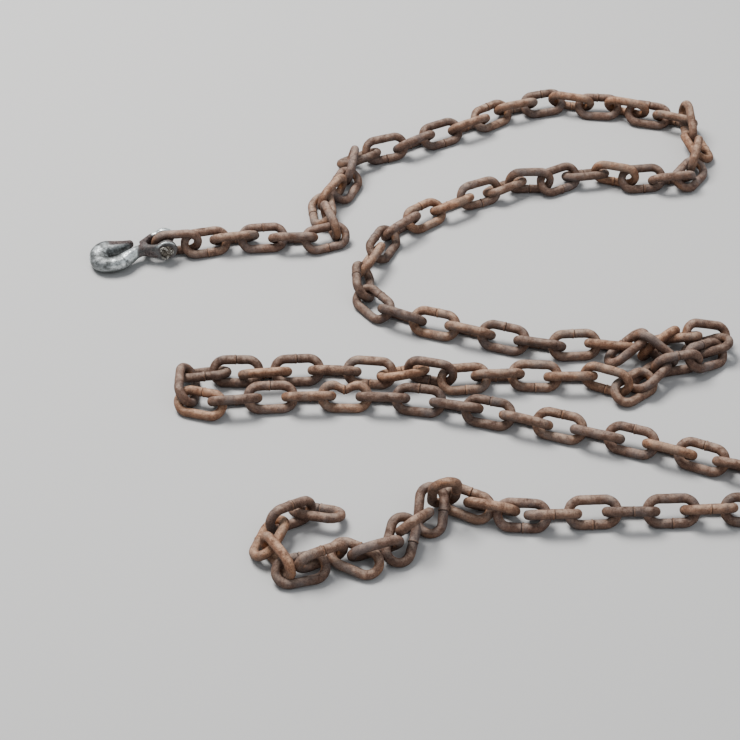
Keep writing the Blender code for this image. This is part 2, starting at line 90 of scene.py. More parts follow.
# Where the chain lies. Each mark is a link's number, counted from the hook, and how far
# right and back its middle lies, in steps. Links between two marks follow a smooth curve, and the
# settled chain is then shifted to where its end link stands in the frame.
LAST_LINK = 115
MARK_STEP = 0.0316
MARKS = (
    (1, -7.50, 2.85), (3, -5.75, 3.15), (5, -3.95, 3.20), (6, -3.05, 3.25), (7, -2.75, 3.75),
    (8, -2.95, 4.55), (9, -2.75, 5.20), (10, -2.65, 5.95), (11, -2.35, 6.85), (12, -1.60, 7.40),
    (14, -0.10, 8.30), (16, 1.70, 9.20), (17, 2.45, 9.70), (18, 3.25, 10.20), (19, 4.20, 10.40),
    (20, 5.15, 10.65), (21, 6.00, 10.35), (22, 6.90, 10.22), (23, 7.78, 9.80), (24, 8.60, 9.72),
    (25, 8.78, 8.92), (26, 8.97, 7.88), (27, 8.86, 7.22), (28, 8.90, 6.50), (29, 8.20, 6.30),
    (31, 6.40, 6.35), (32, 5.45, 6.55), (33, 4.50, 6.30), (35, 2.80, 5.80), (37, 1.05, 4.95),
    (38, 0.20, 4.50), (39, -0.60, 3.80), (40, -1.25, 3.05), (41, -1.60, 2.05), (42, -1.95, 1.05),
    (43, -1.70, 0.15), (44, -0.95, -0.40), (47, 2.10, -1.40), (49, 4.05, -1.95), (50, 5.00, -1.75),
    (51, 5.80, -2.00), (52, 6.45, -2.25), (53, 6.67, -2.00), (54, 7.22, -1.55), (55, 8.22, -1.69),
    (56, 8.25, -1.95), (57, 8.15, -2.20), (58, 7.20, -2.60), (59, 6.40, -3.15), (60, 5.95, -3.50),
    (61, 5.15, -3.30), (62, 4.15, -3.20), (65, 1.25, -3.10), (67, -0.75, -3.05), (70, -3.80, -2.90),
    (71, -4.55, -3.00), (73, -6.20, -3.10), (74, -6.85, -3.60), (75, -6.35, -4.10), (76, -5.30, -4.10),
    (79, -2.25, -4.00), (81, -0.20, -4.15), (83, 1.75, -4.65), (86, 4.65, -5.50), (89, 7.50, -6.45),
    (90, 8.40, -6.80), (91, 9.30, -7.00), (92, 10.10, -7.40), (93, 10.05, -8.15), (94, 9.30, -8.50),
    (95, 8.40, -8.40), (97, 6.38, -8.45), (99, 4.31, -8.50), (101, 2.29, -8.60), (102, 1.55, -8.40),
    (103, 1.00, -7.95), (104, 0.38, -8.23), (105, 0.04, -8.46), (106, -0.47, -9.12), (107, -0.84, -9.60),
    (108, -1.25, -10.00), (109, -1.95, -10.05), (110, -2.65, -10.05), (111, -3.26, -10.43),
    (112, -3.82, -10.22), (113, -4.24, -9.38), (114, -3.71, -8.61), (115, -2.98, -8.51),
)

# How each link lies on its own length, ten links a row: F shows its open face to the front,
# U its edge. TURNED gives the angle from F, in degrees, of links that lie between the two.
LIES = (
    "UFUFUFUFUF" "UUFUFUFUFF" "FUFUUFUFUF" "FUFUFFUFUF" "UFFUFUFUFU"
    "FUFUFUFUFU" "FUFUFFUFUF" "UFUFFUFUFU" "FUFUFUFUFU" "FUFUFUFUFU"
    "FUFFFUFUFU" "FFFUF"
)
TURNED = {
    11: 75, 12: 150, 19: -5, 20: 70, 21: -10, 22: 70, 23: -10, 31: -60, 32: 60, 33: 0, 34: 110,
    35: 40, 36: -20, 41: 70, 42: 130, 65: 15, 66: -50, 67: 65, 73: 70, 74: 130,
}

# Links that are placed one by one: heading, rise, height of the middle in steps, and lean from flat
POSED = {
    1: (8, 0, 0.46, -85), 24: (-8, 0, 0.36, 144), 25: (-79, -16, 0.52, 90), 26: (-66, 0, 0.30, 0),
    51: (20, 25, 0.58, -20), 52: (-20, -68, 0.71, -58), 53: (28, 0, 0.46, -60), 54: (-18, -16, 0.42, -35),
    55: (-16, -8, 0.25, 0), 56: (215, 0, 0.42, 35), 57: (208, 4, 0.32, -10), 58: (186, 0, 0.46, -90),
    59: (224, -8, 0.40, 28), 60: (225, 0, 0.25, -10), 61: (171, 0, 0.46, -80),
    103: (144, 0, 0.40, -42), 104: (-90, 38, 0.52, 0), 105: (-105, -12, 0.60, 0), 106: (-146, 2, 0.36, 40),
    107: (-109, -5, 0.33, -20), 111: (207, 0, 0.30, -8), 112: (125, 12, 0.50, -85), 113: (58, 3, 0.34, -25),
    114: (33, -12, 0.45, 95), 115: (-3, 0, 0.20, -13),
}


def smooth_through(knots, values, at):
    """A natural cubic curve through values at knots, read at the places in at."""
    count = len(knots)
    step = np.diff(knots)
    system = np.eye(count)
    known = np.zeros(values.shape)
    for i in range(1, count - 1):
        system[i, i - 1 : i + 2] = step[i - 1], 2 * (step[i - 1] + step[i]), step[i]
        after = (values[i + 1] - values[i]) / step[i]
        before = (values[i] - values[i - 1]) / step[i - 1]
        known[i] = 6 * (after - before)
    bend = np.linalg.solve(system, known)
    k = np.clip(np.searchsorted(knots, at, side="right") - 1, 0, count - 2)
    width = step[k][:, None]
    done = (at - knots[k])[:, None]
    left = width - done
    curve = (bend[k] * left**3 + bend[k + 1] * done**3) / (6 * width)
    curve += (values[k] / width - bend[k] * width / 6) * left
    curve += (values[k + 1] / width - bend[k + 1] * width / 6) * done
    return curve


def drawn_links():
    """Middles and axes of all links as drawn. An axes matrix has columns along, across and out of a link."""
    marks = np.array(MARKS)
    numbers = np.arange(1.0, LAST_LINK + 1)
    flat = smooth_through(marks[:, 0], marks[:, 1:] * MARK_STEP, numbers)
    leaning_height = BOW_RADIUS * math.sin(math.radians(45)) + WIRE / 2
    middles = np.column_stack([flat, np.full(LAST_LINK, leaning_height)])
    first = 1.5 * middles[0] - 0.5 * middles[1]
    last = 1.5 * middles[-1] - 0.5 * middles[-2]
    joints = np.vstack([first, (middles[1:] + middles[:-1]) / 2, last])
    front = Vector((0, -1, 1)).normalized()
    axes = np.empty((LAST_LINK, 3, 3))
    for i in range(LAST_LINK):
        along = Vector(joints[i + 1] - joints[i]).normalized()
        if i + 1 in POSED:
            heading, rise, height, lean = POSED[i + 1]
            turn = Matrix.Rotation(math.radians(heading), 3, "Z")
            along = turn @ Matrix.Rotation(-math.radians(rise), 3, "Y").col[0]
            middles[i, 2] = height * MARK_STEP
            level = Vector((0, 0, 1)).cross(along).normalized()
            across = Matrix.Rotation(math.radians(lean), 3, along) @ level
        else:
            angle = TURNED.get(i + 1, 0 if LIES[i] == "F" else 90)
            facing = (front - along * front.dot(along)).normalized()
            out = Matrix.Rotation(math.radians(angle), 3, along) @ facing
            across = out.cross(along)
        axes[i] = Matrix((along, across, along.cross(across))).transposed()
    return middles, axes


def wire_points():
    """Evenly spread points along a link's centre line, in the link's own plane."""
    side = 2 * STRAIGHT
    bow = math.pi * BOW_RADIUS
    points = []
    for gone in np.arange(SETTLE_POINTS) * 2 * (side + bow) / SETTLE_POINTS:
        half, rest = divmod(gone, side + bow)
        if rest < side:
            x, y = rest - STRAIGHT, -BOW_RADIUS
        else:
            angle = (rest - side) / BOW_RADIUS
            x, y = STRAIGHT + BOW_RADIUS * math.sin(angle), -BOW_RADIUS * math.cos(angle)
        points.append((x, y, 0) if half == 0 else (-x, -y, 0))
    return np.array(points)


def nearest_on_wire(points):
    """The points of a link's centre line that are nearest to points in the link's own axes."""
    core = np.clip(points[..., 0], -STRAIGHT, STRAIGHT)
    out = np.stack([points[..., 0] - core, points[..., 1]], -1)
    length = np.linalg.norm(out, axis=-1)[..., None]
    out = np.where(length > 1e-9, out / np.maximum(length, 1e-9), (0.0, 1.0)) * BOW_RADIUS
    return np.stack([core + out[..., 0], out[..., 1], np.zeros(core.shape)], -1)


def turned(axes, spin):
    """Axes turned by rotation vectors."""
    angle = np.linalg.norm(spin, axis=1)
    x, y, z = (spin / np.maximum(angle, 1e-12)[:, None]).T
    none = np.zeros(len(x))
    cross = np.stack([none, -z, y, z, none, -x, -y, x, none], 1).reshape(-1, 3, 3)
    sine = np.sin(angle)[:, None, None]
    rest = (1 - np.cos(angle))[:, None, None]
    return (np.eye(3) + sine * cross + rest * cross @ cross) @ axes


def contacts(middles, axes, a, b):
    """For links a and b: the nearest points of their centre lines, the direction from b to a, and how far."""
    on_a = np.einsum("nij,kj->nki", axes[a], wire_points()) + middles[a][:, None]
    seen = np.einsum("nji,nkj->nki", axes[b], on_a - middles[b][:, None])
    on_b = np.einsum("nij,nkj->nki", axes[b], nearest_on_wire(seen)) + middles[b][:, None]
    apart = np.linalg.norm(on_a - on_b, axis=2)
    nearest = (np.arange(len(a)), apart.argmin(axis=1))
    on_a, on_b, apart = on_a[nearest], on_b[nearest], apart[nearest]
    return on_a, on_b, (on_a - on_b) / np.maximum(apart, 1e-9)[:, None], apart


def fading(pull, share):
    """How strong a pull still is: its strength, until it goes in a straight line to nothing at its end."""
    strength, end, length = pull
    return strength * min(1, max(0, (end - share) / length))


def settled_links():
    """The drawn links, moved until none cuts another, neighbours touch and all lie on the floor."""
    drawn, drawn_axes = drawn_links()
    middles, axes = drawn.copy(), drawn_axes.copy()
    free = np.ones(LAST_LINK)
    free[0] = 0
    posed = np.isin(np.arange(LAST_LINK) + 1, list(POSED))
    level = free * (abs(drawn_axes[:, 2, 0]) < LEVEL_SLOPE)
    swing = (LINK_INSIDE_LENGTH * SWING_SHARE) ** 2
    reach = LINK_INSIDE_LENGTH + NEIGHBOUR_REACH
    run = drawn_axes[:, :2, 0] / np.linalg.norm(drawn_axes[:, :2, 0], axis=1)[:, None]
    before = middles.copy()
    for turn in range(SETTLE_ROUNDS):
        share = turn / SETTLE_ROUNDS
        glide = SETTLE_GLIDE * (middles - before) * (share < GLIDE_END)
        before = middles.copy()
        apart = np.linalg.norm(middles[:, None] - middles[None], axis=2)
        first, second = np.nonzero(np.triu(apart < reach, 1))
        push = np.zeros((LAST_LINK, 3))
        spin = np.zeros((LAST_LINK, 3))
        shares = np.ones(LAST_LINK)
        for a, b in ((first, second), (second, first)):
            on_a, on_b, way, apart = contacts(middles, axes, a, b)
            linked = abs(a - b) == 1
            paired = linked & (np.minimum(a, b) % 2 == 0)
            lack = np.where(paired, WIRE - PAIR_BITE, WIRE * WIRE_SWELL + LINK_GAP) - apart
            loose = np.where(paired, lack, np.minimum(lack + LINK_PLAY, 0)) / 2
            lack = np.where(lack > 0, lack, np.where(linked, loose, 0))
            arm_a = np.cross(on_a - middles[a], way)
            arm_b = np.cross(on_b - middles[b], way)
            ease = free[a] * (1 + (arm_a**2).sum(1) / swing) + free[b] * (1 + (arm_b**2).sum(1) / swing)
            move = (lack / np.maximum(ease, 1e-9))[:, None]
            np.add.at(push, a, move * way)
            np.add.at(push, b, -move * way)
            np.add.at(spin, a, move * arm_a / swing)
            np.add.at(spin, b, -move * arm_b / swing)
            np.add.at(shares, a, lack != 0)
            np.add.at(shares, b, lack != 0)
        part = (free * 2 / shares)[:, None]
        middles = middles + push * part + glide * free[:, None]
        axes = turned(axes, spin * part)
        # Weight: links drop to the floor, and those drawn level turn level
        tip = STRAIGHT * abs(axes[:, 2, 0]) + BOW_RADIUS * np.hypot(axes[:, 2, 0], axes[:, 2, 1])
        above = middles[:, 2] - tip - WIRE_REACH - FLOOR
        middles[:, 2] -= free * np.minimum(above, SETTLE_DROP)
        flat = axes[:, :, 0] * (1, 1, 0)
        fall = np.cross(axes[:, :, 0], flat / np.linalg.norm(flat, axis=1)[:, None])
        axes = turned(axes, fall * (level * fading(LEVEL_PULL, share))[:, None])
        # Pulls back to the drawn place and pose
        hold = fading(HOLD_PULL, share)
        rest = LEAST_PULL * (share < LEAST_END)
        side = np.maximum(max(fading(SIDE_PULL, share), rest), posed * fading(POSED_PULL, share))[:, None]
        along = np.maximum(HOLD_ALONG * hold, posed * fading(POSED_PULL, share))[:, None]
        back = (drawn - middles)[:, :2]
        back_along = (back * run).sum(1)[:, None] * run
        middles[:, :2] += free[:, None] * (along * back_along + side * (back - back_along))
        lean = sum(np.cross(axes[:, :, k], drawn_axes[:, :, k]) for k in range(3)) / 2
        axes = turned(axes, lean * free[:, None] * (hold + side))
    return middles, axes


middles, axes = settled_links()
low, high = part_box("end_link")
shift = np.array((low + high) / 2) - middles[-1]
shift[2] = 0.0
middles = middles + shift

# The rust of the links: brown scale, paler on top with dust and painted light, darker underneath with
# painted shade, orange where links rub in the bows, dark in pits and round the weld. Each link gets its own
# tint.
RUST_DARK = (0.032, 0.020, 0.016, 1)
RUST_DEEP = (0.126, 0.074, 0.056, 1)
RUST_BROWN = (0.220, 0.134, 0.096, 1)
RUST_TAN = (0.350, 0.226, 0.162, 1)
RUST_ORANGE = (0.440, 0.228, 0.115, 1)
RUST_GREY = (0.210, 0.180, 0.168, 1)
RUST_DUST_AND_TOP_LIGHT = (0.600, 0.475, 0.385, 1)

# Tints over the rust, from the darkest link to the palest
LINK_TINTS = (
    (0.0, (0.66, 0.63, 0.63, 1)), (0.35, (0.86, 0.80, 0.80, 1)),
    (0.7, (1.06, 0.98, 0.92, 1)), (1.0, (1.32, 1.08, 0.88, 1)),
)

# Unevenness of the rust, each with how fine it is, its detail and its roughness
BROAD_NOISE = (48, 4, 0.6)
PATCH_NOISE = (150, 8, 0.72)
GRAIN_NOISE = (900, 4, 0.7)
SPECK_NOISE = (2600, 2, 0.6)


class Finish:
    """A new material, and short ways to build it. Sockets or plain values go in, and sockets come out."""

    def __init__(self, name):
        self.material = bpy.data.materials.new(name)
        self.material.use_nodes = True
        self.nodes = self.material.node_tree.nodes
        self.links = self.material.node_tree.links
        self.shader = self.nodes["Principled BSDF"].inputs
        self.place = self.nodes.new("ShaderNodeTexCoord").outputs["Object"]

    def feed(self, socket, value):
        if isinstance(value, bpy.types.NodeSocket):
            self.links.new(value, socket)
        else:
            socket.default_value = value

    def noise(self, scale, detail, rough, stretch=None):
        """Noise all through the piece, stretched along its own axes where that is asked for."""
        node = self.nodes.new("ShaderNodeTexNoise")
        source = self.place
        if stretch:
            mapping = self.nodes.new("ShaderNodeMapping")
            self.feed(mapping.inputs["Vector"], self.place)
            self.feed(mapping.inputs["Scale"], stretch)
            source = mapping.outputs[0]
        for name, value in (("Scale", scale), ("Detail", detail), ("Roughness", rough), ("Vector", source)):
            self.feed(node.inputs[name], value)
        return node.outputs["Fac"]

    def layer(self, name):
        """A value that the mesh holds for each of its points."""
        node = self.nodes.new("ShaderNodeAttribute")
        node.attribute_name = name
        return node.outputs["Fac"]

    def sum(self, operation, *values):
        node = self.nodes.new("ShaderNodeMath")
        node.operation = operation
        for socket, value in zip(node.inputs, values):
            self.feed(socket, value)
        return node.outputs[0]

    def ramp(self, share, *stops):
        """Colours along a share, from (place, colour) stops. A plain number stands for a grey."""
        node = self.nodes.new("ShaderNodeValToRGB")
        marks = node.color_ramp.elements
        while len(marks) < len(stops):
            marks.new(0.5)
        for mark, (place, colour) in zip(marks, stops):
            mark.position = place
            mark.color = colour if isinstance(colour, tuple) else (colour, colour, colour, 1)
        self.feed(node.inputs[0], share)
        return node.outputs[0]

    def mix(self, share, first, second):
        """The first colour where the share is 0, the second where it is 1."""
        node = self.nodes.new("ShaderNodeMix")
        node.data_type = "RGBA"
        for socket, value in zip((node.inputs[0], node.inputs[6], node.inputs[7]), (share, first, second)):
            self.feed(socket, value)
        return node.outputs[2]

    def between(self, share, first, second):
        """The same for two plain measures."""
        node = self.nodes.new("ShaderNodeMix")
        for socket, value in zip((node.inputs[0], node.inputs[2], node.inputs[3]), (share, first, second)):
            self.feed(socket, value)
        return node.outputs[0]

    def relief(self, height, strength, depth):
        node = self.nodes.new("ShaderNodeBump")
        for name, value in (("Height", height), ("Strength", strength), ("Distance", depth)):
            self.feed(node.inputs[name], value)
        self.feed(self.shader["Normal"], node.outputs[0])


def rust_finish():
    rust = Finish("rusty_link_looks")
    broad, patch, grain, speck = (
        rust.noise(*kind) for kind in (BROAD_NOISE, PATCH_NOISE, GRAIN_NOISE, SPECK_NOISE)
    )
    colour = rust.ramp(patch, (0.34, RUST_DEEP), (0.50, RUST_BROWN), (0.68, RUST_TAN))
    colour = rust.mix(rust.ramp(broad, (0.50, 0.0), (0.64, 0.80)), colour, RUST_GREY)
    # Orange where links rub, broken up by the grain
    rubbed = rust.sum("ADD", rust.layer("worn"), rust.sum("MULTIPLY_ADD", grain, 1.4, -0.7))
    colour = rust.mix(rust.ramp(rubbed, (0.25, 0.0), (0.95, 0.85)), colour, RUST_ORANGE)
    # Painted shade darkens the underside, and dust with painted light pales the bar where it faces up
    facing = rust.nodes.new("ShaderNodeSeparateXYZ")
    rust.feed(facing.inputs[0], rust.nodes.new("ShaderNodeNewGeometry").outputs["Normal"])
    upward = facing.outputs["Z"]
    # Painted shade: the faces that turn down are mixed towards near black
    painted_underside_shade = rust.ramp(rust.sum("MULTIPLY_ADD", upward, 0.5, 0.3), (0.10, 0.72), (0.52, 0.0))
    colour = rust.mix(painted_underside_shade, colour, RUST_DARK)
    # Pale dust that also paints the light on the faces that turn up
    dust_and_top_light = rust.ramp(rust.sum("MULTIPLY", upward, patch), (0.34, 0.0), (0.60, 0.62))
    colour = rust.mix(dust_and_top_light, colour, RUST_DUST_AND_TOP_LIGHT)
    # Pits, grit and the seam of the weld
    colour = rust.mix(rust.ramp(grain, (0.36, 0.70), (0.45, 0.0)), colour, RUST_DARK)
    colour = rust.mix(rust.ramp(speck, (0.63, 0.0), (0.70, 0.75)), colour, RUST_DUST_AND_TOP_LIGHT)
    colour = rust.mix(rust.layer("seam"), colour, RUST_DARK)
    tinted = rust.nodes.new("ShaderNodeVectorMath")
    tinted.operation = "MULTIPLY"
    rust.feed(tinted.inputs[0], colour)
    each_link = rust.nodes.new("ShaderNodeObjectInfo").outputs["Random"]
    rust.feed(tinted.inputs[1], rust.ramp(each_link, *LINK_TINTS))
    rust.feed(rust.shader["Base Color"], tinted.outputs[0])
    rust.feed(rust.shader["Roughness"], rust.ramp(patch, (0.35, 0.95), (0.70, 0.62)))
    rust.feed(rust.shader["Metallic"], 0.15)
    rust.feed(rust.shader["Specular IOR Level"], 0.35)
    rust.relief(rust.sum("MULTIPLY_ADD", grain, 0.6, speck), 0.55, 0.0006)
    return rust.material


# The rings of points round one link: where they stand on its sides, in shares of STRAIGHT, and
# closer together round the weld, in WELD_STEPs from its middle
BAR_SIDES = 30
BAR_RADIUS = 0.0042
BOW_STATIONS = 20
SIDE_STATIONS = (-1, -0.75, -0.5, -0.3)
WELD_STATIONS = (-1.9, -1.3, -0.9, -0.6, -0.35, -0.15, 0, 0.15, 0.35, 0.6, 0.9, 1.3, 1.9)
WELD_STEP = 0.001
FAR_SIDE_STATIONS = (1, 0.6, 0.2, -0.2, -0.6, -1)
FAR_FROM_WELD = 1

# The weld: a raised lip on one side of its middle and a fine groove on the other, each with how
# high or deep it is, how far from the middle and how wide
LIP = (0.00042, 0.0009, 0.0008)
GROOVE = (0.00052, 0.0003, 0.00034)
LIP_ORANGE = 0.55
GROOVE_DARK = 0.9

# How deep the bows are worn inside, how orange their ends get at most, how far a link is out of
# flat, and the uneven skin of the bar
WEAR_DEPTH = 0.00045
MOST_END_ORANGE = 0.75
OUT_OF_FLAT = 0.00016
UNEVEN = 0.00022
UNEVEN_PITCH = 260
UNEVEN_SHIFT = 7.3

# Welds in view: on a link's left side as the chain runs, or on its right. All others face away
LEFT_WELDS = (
    10, 30, 33, 42, 63, 65, 66, 73, 75, 77, 79, 81, 83, 89, 96, 97, 98, 99, 100, 101, 110, 114,
)
RIGHT_WELDS = (2, 6, 13, 15, 38, 40, 55, 56, 58, 69, 102, 106, 108)
TO_VIEWER = np.array((0, -0.743, 0.669))

# One link is knocked in at its weld: how deep, how wide the dent is, and how far out a ring stands
# on the weld's side, in shares of BOW_RADIUS, to be part of it
KNOCKED = {79: 0.0042}
KNOCK_WIDTH = 0.0062
KNOCK_FROM = 0.9


def ring_stations():
    """Round the link: the place of each ring, its outward direction, and how far it is from the weld."""
    flat = [x * STRAIGHT for x in SIDE_STATIONS]
    near_side = flat + [x * WELD_STEP for x in WELD_STATIONS] + [-x for x in reversed(flat)]
    rings = [(x, BOW_RADIUS, 0, 1, x) for x in near_side]
    for end, start in ((STRAIGHT, math.pi / 2), (-STRAIGHT, -math.pi / 2)):
        for k in range(1, BOW_STATIONS):
            a = start - math.pi * k / BOW_STATIONS
            c, s = math.cos(a), math.sin(a)
            rings.append((end + BOW_RADIUS * c, BOW_RADIUS * s, c, s, FAR_FROM_WELD))
        if end > 0:
            rings += [(x * STRAIGHT, -BOW_RADIUS, 0, -1, FAR_FROM_WELD) for x in FAR_SIDE_STATIONS]
    rings = np.array(rings)
    return rings[:, :2], rings[:, 2:4], rings[:, 4]


def ring_faces(rings, sides, closed=False):
    """Quads between neighbouring rings of points: closed on itself, or a bar with a face on each end."""
    index = np.arange(rings * sides).reshape(rings, sides)
    nexts = np.roll(index, -1, axis=0)
    faces = np.stack([index, np.roll(index, -1, axis=1), np.roll(nexts, -1, axis=1), nexts], axis=-1)
    if closed:
        return faces.reshape(-1, 4).tolist()
    return faces[:-1].reshape(-1, 4).tolist() + [index[0][::-1].tolist(), index[-1].tolist()]


def ridge(gone, height, at, width):
    """A soft ridge across a bar, at a distance from the middle of the weld."""
    return height * np.exp(-(((gone - at) / width) ** 2))


def give_layer(mesh, name, values):
    """Stores a value for each point of the mesh, for its finish to read."""
    layer = mesh.attributes.new(name, "FLOAT", "POINT")
    layer.data.foreach_set("value", values.reshape(-1).astype(np.float32))


def in_scene(mesh):
    piece = bpy.data.objects.new(mesh.name, mesh)
    bpy.context.scene.collection.objects.link(piece)
    return piece


def build_link(number, material):
    middle, pose = middles[number - 1], axes[number - 1]
    place, out, weld = ring_stations()
    turn = np.arange(BAR_SIDES) * 2 * math.pi / BAR_SIDES
    side = 1 if pose[:, 1] @ TO_VIEWER < 0 else -1
    if number in LEFT_WELDS + RIGHT_WELDS:
        side = 1 if number in LEFT_WELDS else -1
    dice = np.random.default_rng(number)
    # The bar's own thickness round each ring: lip and groove at the weld, wear inside the bows
    lean = dice.choice((-1, 1))
    lip = ridge(weld, 1, lean * LIP[1], LIP[2])
    groove = ridge(weld, 1, -lean * GROOVE[1], GROOVE[2])
    bow = np.clip((abs(place[:, 0]) - STRAIGHT) / BOW_RADIUS, 0, 1)[:, None]
    rubbed = bow**2 * np.clip(-np.cos(turn), 0, 1) ** 2
    ends = bow**3 * np.clip(np.cos(turn), 0, 1) * dice.uniform(0.0, MOST_END_ORANGE)
    worn = np.maximum(np.maximum(rubbed, ends), LIP_ORANGE * lip[:, None])
    bar = BAR_RADIUS + (LIP[0] * lip - GROOVE[0] * groove)[:, None] - WEAR_DEPTH * rubbed
    if number in KNOCKED:
        on_weld_side = place[:, 1] > BOW_RADIUS * KNOCK_FROM
        place[:, 1] -= ridge(place[:, 0], KNOCKED[number], 0, KNOCK_WIDTH) * on_weld_side
    along = place[:, 0] / STRAIGHT
    bend = dice.normal(0, OUT_OF_FLAT, 2)
    centre = np.column_stack([place, bend[0] * np.cos(along) + bend[1] * along])
    outward = np.column_stack([out, np.zeros(len(out))])
    spoke = np.cos(turn)[None, :, None] * outward[:, None] + np.sin(turn)[None, :, None] * np.array((0, 0, 1))
    points = (centre[:, None] + bar[..., None] * spoke).reshape(-1, 3)
    away = (points - np.repeat(centre, BAR_SIDES, axis=0)) / (WIRE / 2)
    own = Vector((number * UNEVEN_SHIFT, 0, 0))
    rough = np.array([noise.noise(Vector(p * UNEVEN_PITCH) + own) for p in points])
    points = points + away * (UNEVEN * rough)[:, None]
    points = points * (1, side, 1) @ pose.T + middle
    points[:, 2] = np.maximum(points[:, 2], FLOOR)
    faces = ring_faces(len(place), BAR_SIDES, closed=True)
    if side > 0:
        faces = [face[::-1] for face in faces]
    mesh = bpy.data.meshes.new(f"link_{number:03d}")
    mesh.from_pydata(points.tolist(), [], faces)
    mesh.shade_smooth()
    give_layer(mesh, "worn", worn)
    give_layer(mesh, "seam", np.repeat(GROOVE_DARK * groove, BAR_SIDES))
    mesh.materials.append(material)
    return in_scene(mesh)


rust = rust_finish()
for number in range(1, LAST_LINK + 1):
    link = build_link(number, rust)
    node = "end_link" if number == LAST_LINK else f"link_pair_{(number + 1) // 2:02d}"
    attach(link, "chain")
    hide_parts(node)


# HOOK
# A drop-forged grab hook, galvanised, with a deep narrow slot that grips a link on edge. Its bowl
# is one forged bar of changing width and thickness, bent round the slot, and its two ears grow out
# of the neck. A pin through them holds it to the first link.

# The hook's own axes: the pin runs along y at the origin, and the bowl lies along x
PIN_RADIUS = 0.0045
PIN_CLEARANCE = 0.0003
PIN_TO_LINK = 0.0006
HOOK_HALF = 0.0075
HOOK_RESTS_AT = 0.0705
HOOK_HEADING = math.radians(193)
inside_bow = BOW_RADIUS + STRAIGHT - WIRE_REACH
pin_place = middles[0] - axes[0][:, 0] * (inside_bow - PIN_TO_LINK - PIN_RADIUS)
pitch = math.asin(pin_place[2] / math.hypot(HOOK_RESTS_AT, HOOK_HALF)) - math.atan2(HOOK_HALF, HOOK_RESTS_AT)
hook_turn = Matrix.Rotation(HOOK_HEADING, 4, "Z") @ Matrix.Rotation(pitch, 4, "Y")
hook_pose = Matrix.Translation(pin_place) @ hook_turn

# The bar's route from the neck round the bowl to the tip: x, y, half width, half thickness, in mm
BAR_ROUTE = (
    (17.0, 0.8, 6.2, 6.4), (23.0, 2.6, 5.0, 6.2), (28.5, 4.2, 4.9, 6.4), (33.0, 6.8, 5.4, 6.9),
    (37.5, 9.7, 6.2, 7.3), (43.0, 12.9, 7.2, 7.4), (50.0, 14.6, 7.0, 7.4), (57.5, 13.4, 7.6, 7.4),
    (63.0, 9.0, 8.9, 7.4), (64.8, 2.0, 9.6, 7.4), (63.4, -5.3, 9.8, 7.4), (58.5, -10.6, 9.2, 7.3),
    (51.5, -10.0, 8.1, 7.0), (44.5, -9.4, 6.3, 6.4), (38.0, -9.7, 4.7, 5.4), (32.8, -10.6, 3.2, 4.4),
)
ROUTE_STEPS = 110
SECTION_SIDES = 40
SECTION_POWER = 2 / 2.15
TIP_DOME = (25, 45, 62, 76, 86)

# The same for a flat arm from the neck out to one ear, and the round ear at its end
EAR_ROUTE = (
    (24, 1.5, 5.2, 5.6), (19, 4.2, 4.6, 6.6), (14.5, 7.4, 3.4, 7.3),
    (10, 9.3, 2.9, 7.8), (4, 9.9, 2.7, 8.4), (-1, 9.9, 2.7, 8.4),
)
EAR_STEPS = 26
EAR_SIDES = 32
EAR_POWER = 0.6
EAR_MIDDLE = 0.0099
EAR_HALF = 0.0027
EAR_ROUND = 0.0103
EAR_ROUNDING = 0.0014

# Turned pieces: how many sides they have, and how near to the axis their end faces begin
TURNED_SIDES = 48
NEAR_AXIS = 0.0004
BORE_HALF = 0.03

# The forged skin: fillets, and dents of two sizes
VOXEL = 0.00048
FILLET_SHARE = 0.5
FILLET_ROUNDS = 10
DENT_DEPTH = 0.00016
WIDE_DENTS = 190
SMALL_DENTS = 480

# Colours: zinc from its dark blotches to a near-white painted highlight, bare steel that rusted, and a dark
# green for grime and painted shade
ZINC_DARK = (0.055, 0.058, 0.056, 1)
ZINC_GREY = (0.190, 0.202, 0.204, 1)
ZINC_PALE = (0.400, 0.425, 0.435, 1)
ZINC_HIGHLIGHT = (0.86, 0.92, 0.93, 1)
SCRATCH_DARK = (0.065, 0.070, 0.072, 1)
SCALE_DARK = (0.030, 0.020, 0.021, 1)
SCALE_BROWN = (0.085, 0.062, 0.060, 1)
SCALE_PALE = (0.230, 0.180, 0.165, 1)
GRIME_AND_SHADE_GREEN = (0.045, 0.052, 0.040, 1)

# Unevenness of the zinc: how fine, its detail, its roughness, and for scratches how it is stretched
BLOTCH_NOISE = (150, 6, 0.7)
FINE_NOISE = (700, 5, 0.7)
SCRATCH_NOISE = (260, 4, 0.6, (0.25, 1.6, 1.6))

# Painted highlights on the zinc: how much, the spot, and how far it reaches along each axis, in mm
HIGHLIGHT_SPOTS = (
    (2.6, (35, 11, 5), (10, 8, 8)), (1.2, (47, 18, 3), (14, 6, 6)), (1.5, (65, -6, 7), (6, 8, 5)),
    (1.6, (74, -1, 0), (4, 10, 7)), (1.0, (57, -2, 7), (6, 5, 4)), (0.5, (60, 8, 7), (14, 12, 5)),
)
# How strong the painted highlight is on the ears, and how much of it is left under rust
EAR_HIGHLIGHT = 1.2
HIGHLIGHT_UNDER_RUST = 0.1

# How finishes fade in over the hook, from none to all: along x or y in mm, or as a face turns up
EARS_BY_X = (13, 9)
NEAR_RIM_BY_Y = (10.6, 11.8)
NECK_BY_X = (26.5, 24)
NECK_SLANT = 0.25
NECK_BY_Y = (2, -4)
NECK_RUST = (0.75, 1.0)
EAR_RUST = 0.62
TIP_BY_Y = (-5.5, -8.5)
TIP_BY_X = (58, 49)
TIP_ENDS_AT_X = 27
